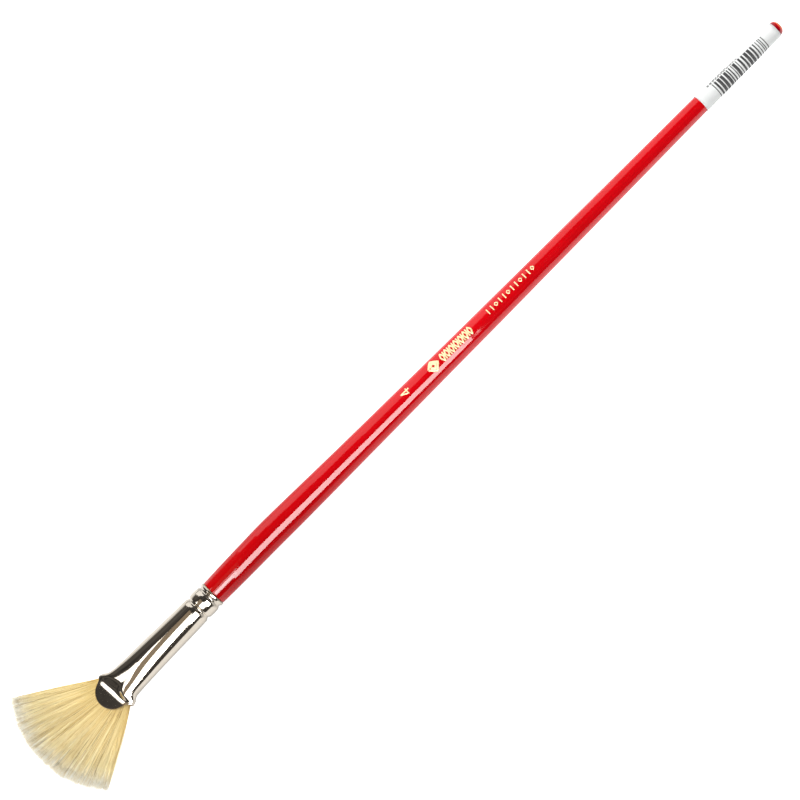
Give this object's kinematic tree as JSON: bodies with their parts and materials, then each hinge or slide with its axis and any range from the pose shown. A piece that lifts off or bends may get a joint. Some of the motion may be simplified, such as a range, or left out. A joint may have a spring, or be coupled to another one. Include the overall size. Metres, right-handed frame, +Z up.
{
  "type": "fan brush",
  "caption": "Long-handled artists' fan brush: turned lacquered handle, crimped and flattened ferrule, and stiff bristles spread in a fan that bends and springs back.",
  "frame": {"origin": "bottom centre of the whole brush as it lies flat, with the belly of the handle on the surface", "axes": "+X along the brush axis towards the bristle tips, +Y across the fan, +Z up, square to the fan"},
  "size_m": [0.3204, 0.0438, 0.0093],
  "materials": {
    "red_lacquered_wood": "gloss",
    "label_paper": "satin",
    "nickel_plated_brass": "polished",
    "set_epoxy": "gloss",
    "cotton_thread": "matte",
    "hog_bristle": "satin"
  },
  "bodies": {
    "brush": {"handle": "red_lacquered_wood", "label": "label_paper", "ferrule": "nickel_plated_brass", "glue_plug": "set_epoxy", "binding_thread": "cotton_thread", "bristle_heel": "hog_bristle"},
    "bristle_tips": {"bristle_fan": "hog_bristle"}
  },
  "joints": [
    {"name": "bristle_flex", "type": "hinge", "parent": "brush", "child": "bristle_tips", "pos_m": [0.1395, 0, 0.00464], "axis": [0, 1, 0], "range_deg": [-35, 35], "stiffness_Nm_per_rad": 0.014}
  ]
}
